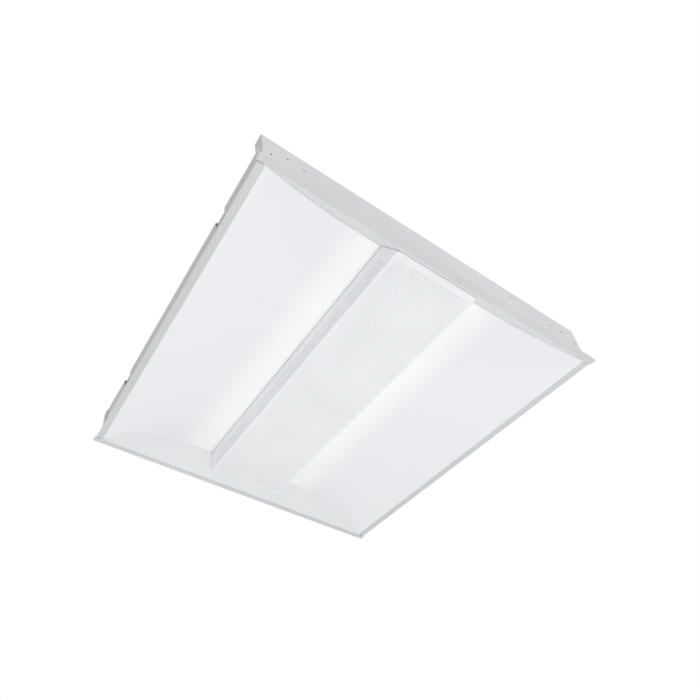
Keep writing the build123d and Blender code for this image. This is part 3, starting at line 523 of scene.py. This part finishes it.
def make_fasteners():
    """The screws and rivets, one piece for each of their CAD nodes."""

    def upward(_):
        return (0, 0, 1)

    def downward(_):
        return (0, 0, -1)

    def out_of_wall(point):
        wall_lean = 0.095
        return (math.copysign(1, point.x), 0, -wall_lean)

    def out_of_end(point):
        return (0, math.copysign(1, point.y), 0)

    screw, rivet = (screw_head, threaded_shank), (rivet_head, plain_shank)
    # Piece, node, direction, head height and shank radius in millimetres, kind
    rows = [
        ("access_pivot_rivet", "access_pivot", upward, 1.4, 2.0, rivet),
        ("access_lock_screw", "access_screw", upward, 1.8, 2.0, screw),
        ("green_ground_screw", "ground_screw", upward, 1.6, 2.0, screw),
        ("driver_fixing_screws", "driver_screws", upward, 1.4, 1.7, screw),
        ("top_lip_screws", "lip_screws", upward, 1.4, 1.7, screw),
        ("spine_fixing_screws", "spine_screws", upward, 1.3, 1.5, screw),
        ("board_fixing_screws", "board_screws", downward, 1.2, 1.4, screw),
        ("hinge_bracket_rivets", "bracket_rivets", downward, 0.8, 1.2, rivet),
        ("catch_fixing_rivets", "catch_rivets", downward, 0.8, 1.2, rivet),
        ("corner_return_rivets", "corner_rivets", out_of_wall, 1.0, 1.6, rivet),
        ("shelf_lip_rivets", "end_reflector_rivets", out_of_end, 0.8, 1.6, rivet),
    ]
    for name, node, direction_of, height, shank_radius, (head, shank) in rows:
        fastener_piece(name, node, direction_of, height * MM, shank_radius * MM, head, shank)


# ---- Perforated basket -------------------------------------------------------------------------
class Basket:
    """The basket's sizes in millimetres. Its section, ends and hinge are the CAD basket's."""

    sheet = 0.6
    half_width = 74.0
    bottom = 15.0
    top = 41.5
    run = 12.65  # how far a wall leans out on its way up
    bend, bend_steps = 1.6, 4  # the bend from bottom to wall: its radius and steps
    lip_bend, lip_steps = 0.9, 6  # and from wall to lip
    lip_inner = 83.05  # where the lip's free edge is, from the middle
    end_foot, end_lean = 290.7, 0.65  # a sloped end's y at z = 0, and how much it loses per z
    corner = 2.0  # how much the bottom's corners are rounded

    pitch = 4.1  # of the holes, both ways
    hole = 1.0  # a six-sided hole's radius to its corners
    columns = 34  # holes across the bottom
    bottom_rows = 66  # holes along the bottom, each way from the middle
    wall_rows = 4  # holes up a wall
    wall_reach = 62  # holes along a wall, each way from the middle
    wall_margin = 1.0  # from the bend to a wall's first cells

    hinge = (87.65, 200.0, 39.6)  # the middle of the far knuckle's bore
    knuckle, bore = 2.0, 1.15  # radii
    knuckle_half, knuckle_edge = 8.1, 0.25  # half its length, and its eased edges
    notch = 13.2  # half the length that is cut from the wall's top at each knuckle
    tab_drop, tab_half = 7.0, 0.25  # a knuckle's tab: its reach down, and half its thickness


def basket_stations():
    """The sheet's middle line, from the lip to the other wall's top. Each station is a point, the
    normal out of the basket, and whether the cells after it have holes."""
    slant = Vector((Basket.run, Basket.top - Basket.bottom)).normalized()
    normal = Vector((slant.y, -slant.x))
    foot = Vector((Basket.half_width, Basket.bottom)) - normal * Basket.sheet / 2

    def on_wall(z):
        return foot + slant * ((z - foot.y) / slant.y)

    floor_z = Basket.bottom + Basket.sheet / 2
    reach = Basket.columns * Basket.pitch / 2
    floor = []
    for step in range(Basket.columns + 1):
        point = Vector((-reach + step * Basket.pitch, floor_z))
        floor.append((point, Vector((0, -1)), step < Basket.columns))

    corner = on_wall(floor_z)
    turn = math.acos(slant.x)
    tangent = Basket.bend * math.tan(turn / 2)
    bend_centre = Vector((corner.x - tangent, floor_z + Basket.bend))
    wall = []
    for step in range(Basket.bend_steps + 1):
        a = turn * step / Basket.bend_steps
        out = Vector((math.sin(a), -math.cos(a)))
        wall.append((bend_centre + out * Basket.bend, out, False))
    wall_start = corner + slant * tangent
    for step in range(Basket.wall_rows + 1):
        along = Basket.wall_margin + step * Basket.pitch
        wall.append((wall_start + slant * along, normal, step < Basket.wall_rows))
    wall_length = (Basket.top - wall_start.y) / slant.y
    wall_top = (wall_start + slant * wall_length, normal, False)

    lip_z = Basket.top - Basket.sheet / 2
    lip_turn = math.pi - turn
    lip_tangent = Basket.lip_bend * math.tan(lip_turn / 2)
    lip_centre = on_wall(lip_z) - slant * lip_tangent - normal * Basket.lip_bend
    lip = []
    for step in range(Basket.lip_steps + 1):
        a = lip_turn * step / Basket.lip_steps
        cos, sin = math.cos(a), math.sin(a)
        out = Vector((cos * normal.x - sin * normal.y, sin * normal.x + cos * normal.y))
        lip.append((lip_centre + out * Basket.lip_bend, out, False))
    lip.append((Vector((Basket.lip_inner, lip_z)), Vector((0, 1)), False))

    # The left side runs the other way, so each station there takes its holes from the next one in.
    mirrored = wall + lip
    opens_before = [False] + [opens for _, _, opens in mirrored[:-1]]
    left = []
    for (point, out, _), opens in reversed(list(zip(mirrored, opens_before))):
        left.append((Vector((-point.x, point.y)), Vector((-out.x, out.y)), opens))
    return left + floor + wall + [wall_top]


def basket_line_y(point, line):
    """Where a cross line of the grid meets a station: even in the middle, gathered at the ends."""
    if abs(line) <= Basket.wall_reach:
        return line * Basket.pitch
    side = math.copysign(1, line)
    end = Basket.end_foot - Basket.end_lean * point.y
    past = abs(point.x) - (Basket.half_width - Basket.corner)
    if past > 0 and point.y < Basket.bottom + Basket.bend:
        past = min(past, Basket.corner)
        end -= Basket.corner - math.sqrt(Basket.corner**2 - past**2)
    if abs(line) > Basket.bottom_rows:
        return side * end
    even = Basket.wall_reach * Basket.pitch
    flat_end = Basket.end_foot - Basket.end_lean * Basket.bottom
    share = (abs(line) * Basket.pitch - even) / (flat_end - even)
    return side * (even + (end - even) * share)


def make_basket():
    """One perforated sheet with rounded bends, a lip for the catches and two hinge knuckles."""
    stations = basket_stations()
    last_line = Basket.bottom_rows + 1
    lines = range(-last_line, last_line + 1)
    top_cell = len(stations) - 2
    hinge_y = Basket.hinge[1]
    half = Basket.sheet / 2
    verts, faces = [], []
    for step_out in (half, -half):
        for point, out, _ in stations:
            place = point + out * step_out
            for line in lines:
                verts.append((place.x * MM, basket_line_y(point, line) * MM, place.y * MM))

    def corner(i, j, inner):
        return (inner * len(stations) + i) * len(lines) + j

    def present(i, j):
        """Whether the sheet has this cell. It has none past its edges and in the hinge notches."""
        if not (0 <= i < len(stations) - 1 and 0 <= j < len(lines) - 1):
            return False
        middle = (lines[j] + 0.5) * Basket.pitch
        at_hinge = abs(abs(middle) - hinge_y) < Basket.notch
        return not (i == top_cell and at_hinge)

    def has_hole(i, j):
        on_floor = stations[i][0].y < Basket.bottom + Basket.sheet
        reach = Basket.bottom_rows if on_floor else Basket.wall_reach
        return stations[i][2] and -reach <= lines[j] < reach

    def add_face(indices, inner):
        faces.append(tuple(indices) if inner else tuple(reversed(indices)))

    share = Basket.hole / Basket.pitch
    angles = [math.radians(60 * step) for step in range(6)]
    rim_places = [(0.5 + share * math.cos(a), 0.5 + share * math.sin(a)) for a in angles]

    def add_open_cell(cell, inner):
        """One side of a cell with a six-sided hole. Gives back the hole's rim."""
        p0, p1, p2, p3 = [Vector(verts[index]) for index in cell]
        c0, c1, c2, c3 = cell
        rim = [len(verts) + step for step in range(6)]
        h0, h1, h2, h3, h4, h5 = rim
        for u, v in rim_places:
            verts.append(tuple((p0 * (1 - u) + p1 * u) * (1 - v) + (p3 * (1 - u) + p2 * u) * v))
        for indices in (
            (c0, c1, h5, h4), (c1, h0, h5), (c1, c2, h0), (c2, h1, h0),
            (c2, c3, h2, h1), (c3, h3, h2), (c3, c0, h3), (c0, h4, h3),
        ):
            add_face(indices, inner)
        return rim

    for i in range(len(stations) - 1):
        for j in range(len(lines) - 1):
            if not present(i, j):
                continue
            cell = [(i, j), (i + 1, j), (i + 1, j + 1), (i, j + 1)]
            outside = [corner(*place, 0) for place in cell]
            inside = [corner(*place, 1) for place in cell]
            if has_hole(i, j):
                outer_rim = add_open_cell(outside, inner=False)
                inner_rim = add_open_cell(inside, inner=True)
                for (a, b), (d, c) in zip(pairs(inner_rim), pairs(outer_rim)):
                    faces.append((a, b, c, d))
            else:
                add_face(outside, inner=False)
                add_face(inside, inner=True)
            neighbours = ((i, j - 1), (i + 1, j), (i, j + 1), (i - 1, j))
            for neighbour, (a, b), (d, c) in zip(neighbours, pairs(inside), pairs(outside)):
                if not present(*neighbour):
                    faces.append((b, a, d, c))

    mesh = bpy.data.meshes.new("perforated_basket")
    mesh.from_pydata(verts, [], faces)
    bm = bmesh.new()
    bm.from_mesh(mesh)
    for end in (-1, 1):
        add_knuckle(bm, end, stations[-1][0], stations[-1][1])
    loose = [vert for vert in bm.verts if not vert.link_faces]
    bmesh.ops.delete(bm, geom=loose, context="VERTS")
    bm.to_mesh(mesh)
    bm.free()
    add_piece("perforated_basket", mesh, "basket")


def add_knuckle(bm, end, wall_top, out):
    """A hinge knuckle: a bored barrel on a tab of the wall."""
    x, y, z = Basket.hinge
    middle = Vector((x, end * y, z)) * MM
    place = Matrix.Translation(middle) @ Matrix.Rotation(math.radians(90), 4, "X")
    half, edge = Basket.knuckle_half * MM, Basket.knuckle_edge * MM
    outer, inner = Basket.knuckle * MM, Basket.bore * MM
    profile = [
        (inner, -half), (outer - edge, -half), (outer, -half + edge),
        (outer, half - edge), (outer - edge, half), (inner, half),
    ]
    for first, second in pairs(rings_of(bm, place, profile, ROUND_SIDES)):
        bridge(bm, second, first)

    slant = Vector((-out.y, out.x))
    drop, tab = Basket.tab_drop, Basket.tab_half
    corners = []
    for along, across in ((0.0, tab), (0.0, -tab), (-drop, -tab), (-drop, tab)):
        corners.append(wall_top + slant * along + out * across)
    near, far = [
        [bm.verts.new((point.x * MM, middle.y + step, point.y * MM)) for point in corners]
        for step in (-half, half)
    ]
    bm.faces.new(near)
    bm.faces.new(list(reversed(far)))
    bridge(bm, far, near)


# ---- Lamps and wiring --------------------------------------------------------------------------
def make_leds():
    """Surface-mount packages: a white frame round a sunk yellow lens."""
    edge = 0.15 * MM
    lens = round_pocket(radius=1.15, depth=0.14, taper=0.9, count=20)
    flip = Matrix.Rotation(math.pi, 4, "X")
    for hand in ("left", "right"):
        bm = bmesh.new()
        lenses = []
        for points in islands(f"{hand}_leds"):
            low, high = box_of(points)
            centre = (low + high) / 2
            place = Matrix.Translation(Vector((centre.x, centre.y, high.z))) @ flip
            half_x, half_y = (high.x - low.x) / 2, (high.y - low.y) / 2
            height = high.z - low.z
            levels = [(0.0, 0.0), (0.0, height - edge), (edge, height)]
            foot, shoulder, rim = [
                loop(bm, place, rectangle(half_x - inset, half_y - inset), level)
                for inset, level in levels
            ]
            bridge(bm, foot, shoulder)
            bridge(bm, shoulder, rim)
            bm.faces.new(foot)
            lenses += pocketed_face(bm, place, rim, height, [lens])
        for face in bm.faces:
            face.material_index = EXTRA_SLOT
        for face in lenses:
            face.material_index = NODE_SLOT
        name = f"{hand}_led_packages"
        add_piece(name, from_bmesh(name, bm), f"{hand}_leds", extra_slots=("white_plastic",))


def moulded_block(bm, low, high, axis, pockets, edge):
    """A moulded body with eased edges, whose end face along one axis has pockets."""
    turn = Vector(axis).to_track_quat("Z", "X").to_matrix().to_4x4()
    place = Matrix.Translation((low + high) / 2) @ turn
    size = turn.inverted() @ (high - low)
    half_x, half_y, half_z = abs(size.x) / 2, abs(size.y) / 2, abs(size.z) / 2
    levels = [(edge, -half_z), (0.0, -half_z + edge), (0.0, half_z - edge), (edge, half_z)]
    loops = []
    for inset, level in levels:
        corners = []
        for x, y in rectangle(half_x - inset, half_y - inset):
            corners += [(x - math.copysign(edge, x), y), (x, y - math.copysign(edge, y))]
        corners.sort(key=lambda point: math.atan2(point[1], point[0]))
        loops.append(loop(bm, place, corners, level))
    for first, second in zip(loops, loops[1:]):
        bridge(bm, first, second)
    bm.faces.new(loops[0])
    pocketed_face(bm, place, loops[-1], half_z, pockets)


def make_terminals():
    """Push-in terminal blocks: a round wire entry and a release slot for each pole."""
    between_blocks = 0.06
    poles_of = {-1: (-6.0, 0.0, 6.0), 1: (-4.0, 4.0)}
    slot_size = {"half_x": 1.0 * MM, "half_y": 0.5 * MM, "y": 3.2 * MM}
    slot_depth, slot_taper = 1.6 * MM, 0.9
    bm = bmesh.new()
    for points in islands("driver_terminals"):
        low, high = box_of(points)
        end = -1 if low.y + high.y < 2 * between_blocks else 1
        pockets = []
        for pole in poles_of[end]:
            pockets.append(round_pocket(radius=1.5, depth=3.0, taper=0.8, x=pole))
            pockets.append((rectangle(**slot_size, x=pole * MM), slot_depth, slot_taper))
        moulded_block(bm, low, high, (0, end, 0), pockets, edge=0.4 * MM)
    add_piece("push_in_terminals", from_bmesh("push_in_terminals", bm), "driver_terminals")


def make_board_connectors():
    """Poke-in connectors on the lamp boards: one round wire entry each."""
    bm = bmesh.new()
    entry = round_pocket(radius=1.4, depth=1.5, taper=0.9)
    for points in islands("board_connectors"):
        low, high = box_of(points)
        side = 1 if low.x + high.x > 0 else -1
        moulded_block(bm, low, high, (-side, 0, 0), [entry], edge=0.25 * MM)
    add_piece("poke_in_connectors", from_bmesh("poke_in_connectors", bm), "board_connectors")


def make_wire_connectors():
    """Lever connectors: a pale body with a wire entry, and two orange levers."""
    entry = round_pocket(radius=1.5, depth=4.0, taper=0.8)
    levers_above, lever_thickness = 1.6 * MM, 2.0 * MM
    lever_x, lever_half = 2.95, 2.5
    lever_from_back, lever_from_front = 3.0 * MM, 1.2 * MM
    bm = bmesh.new()
    for points in islands("wire_connectors"):
        low, high = box_of(points)
        body_high = Vector((high.x, high.y, high.z - levers_above))
        first_face = len(bm.faces)
        moulded_block(bm, low, body_high, (0, 1, 0), [entry], edge=0.6 * MM)
        bm.faces.ensure_lookup_table()
        for index in range(first_face, len(bm.faces)):
            bm.faces[index].material_index = EXTRA_SLOT
        middle = (low.x + high.x) / 2
        back, front = low.y + lever_from_back, high.y - lever_from_front
        for x in (-lever_x, lever_x):
            lever_low = Vector((middle + (x - lever_half) * MM, back, high.z - lever_thickness))
            lever_high = Vector((middle + (x + lever_half) * MM, front, high.z))
            moulded_block(bm, lever_low, lever_high, (0, 0, 1), [], edge=0.5 * MM)
    mesh = from_bmesh("lever_connectors", bm)
    add_piece("lever_connectors", mesh, "wire_connectors", extra_slots=("white_plastic",))


# ---- Light and stage ---------------------------------------------------------------------------
def make_world():
    """White where it is seen. Where it lights, a soft studio light, brightest from the right."""
    level, slope = 0.68, (0.27, -0.08, 0.0)
    world = bpy.data.worlds.new("world")
    scene.world = world
    world.use_nodes = True
    tree = world.node_tree

    def add(kind, operation=None):
        node = tree.nodes.new(kind)
        if operation:
            node.operation = operation
        return node

    def link(source, target):
        tree.links.new(source, target)

    studio = tree.nodes["Background"]
    studio.inputs["Color"].default_value = (0.985, 0.988, 1.0, 1)
    towards = add("ShaderNodeVectorMath", "DOT_PRODUCT")
    towards.inputs[1].default_value = slope
    link(add("ShaderNodeTexCoord").outputs["Generated"], towards.inputs[0])
    strength = add("ShaderNodeMath", "ADD")
    strength.inputs[1].default_value = level
    link(towards.outputs["Value"], strength.inputs[0])
    link(strength.outputs["Value"], studio.inputs["Strength"])

    white = add("ShaderNodeBackground")
    white.inputs["Color"].default_value = (1, 1, 1, 1)
    white.inputs["Strength"].default_value = 1.0
    path = add("ShaderNodeLightPath")
    seen = path.outputs["Is Camera Ray"]
    for ray in ("Is Glossy Ray", "Is Transmission Ray"):
        either = add("ShaderNodeMath", "MAXIMUM")
        link(seen, either.inputs[0])
        link(path.outputs[ray], either.inputs[1])
        seen = either.outputs["Value"]
    mix = add("ShaderNodeMixShader")
    link(seen, mix.inputs["Fac"])
    link(studio.outputs[0], mix.inputs[1])
    link(white.outputs[0], mix.inputs[2])
    link(mix.outputs[0], tree.nodes["World Output"].inputs["Surface"])


def make_floor():
    """A plain pale floor, well below the object."""
    half_side, level = 6.0, -1.25
    corners = [(x, y, level) for x, y in rectangle(half_side, half_side)]
    mesh = bpy.data.meshes.new("floor")
    mesh.from_pydata(corners, [], [(0, 1, 2, 3)])
    floor = bpy.data.objects.new("floor", mesh)
    scene.collection.objects.link(floor)
    paint = Paint("floor")
    paint.tint(paint.noise(2.0), colour(0.93, 0.93, 0.93), colour(0.95, 0.95, 0.95))
    paint.fixed(Roughness=0.9, Specular_IOR_Level=0.1)
    mesh.materials.append(paint.material)


def area_light(name, place, size, power):
    """A soft round lamp that faces the middle of the object."""
    target = Vector((0, 0, 0.03))
    data = bpy.data.lights.new(name, "AREA")
    data.shape = "DISK"
    data.size = size
    data.energy = power
    light = bpy.data.objects.new(name, data)
    light.location = place
    light.rotation_euler = (target - Vector(place)).to_track_quat("-Z", "Y").to_euler()
    light.visible_camera = False
    scene.collection.objects.link(light)


make_camera()
make_world()
make_floor()
area_light("under_light", (0.0, -0.3, -1.15), size=1.8, power=6.1)
area_light("front_light", (0.0, -2.2, -0.3), size=1.2, power=9.5)
area_light("far_light", (0.0, 2.1, -0.7), size=1.2, power=5.5)
area_light("top_light", (0.2, 0.9, 2.2), size=1.6, power=16.0)
dress_frame()
make_basket()
make_fasteners()
make_leds()
make_terminals()
make_board_connectors()
make_wire_connectors()
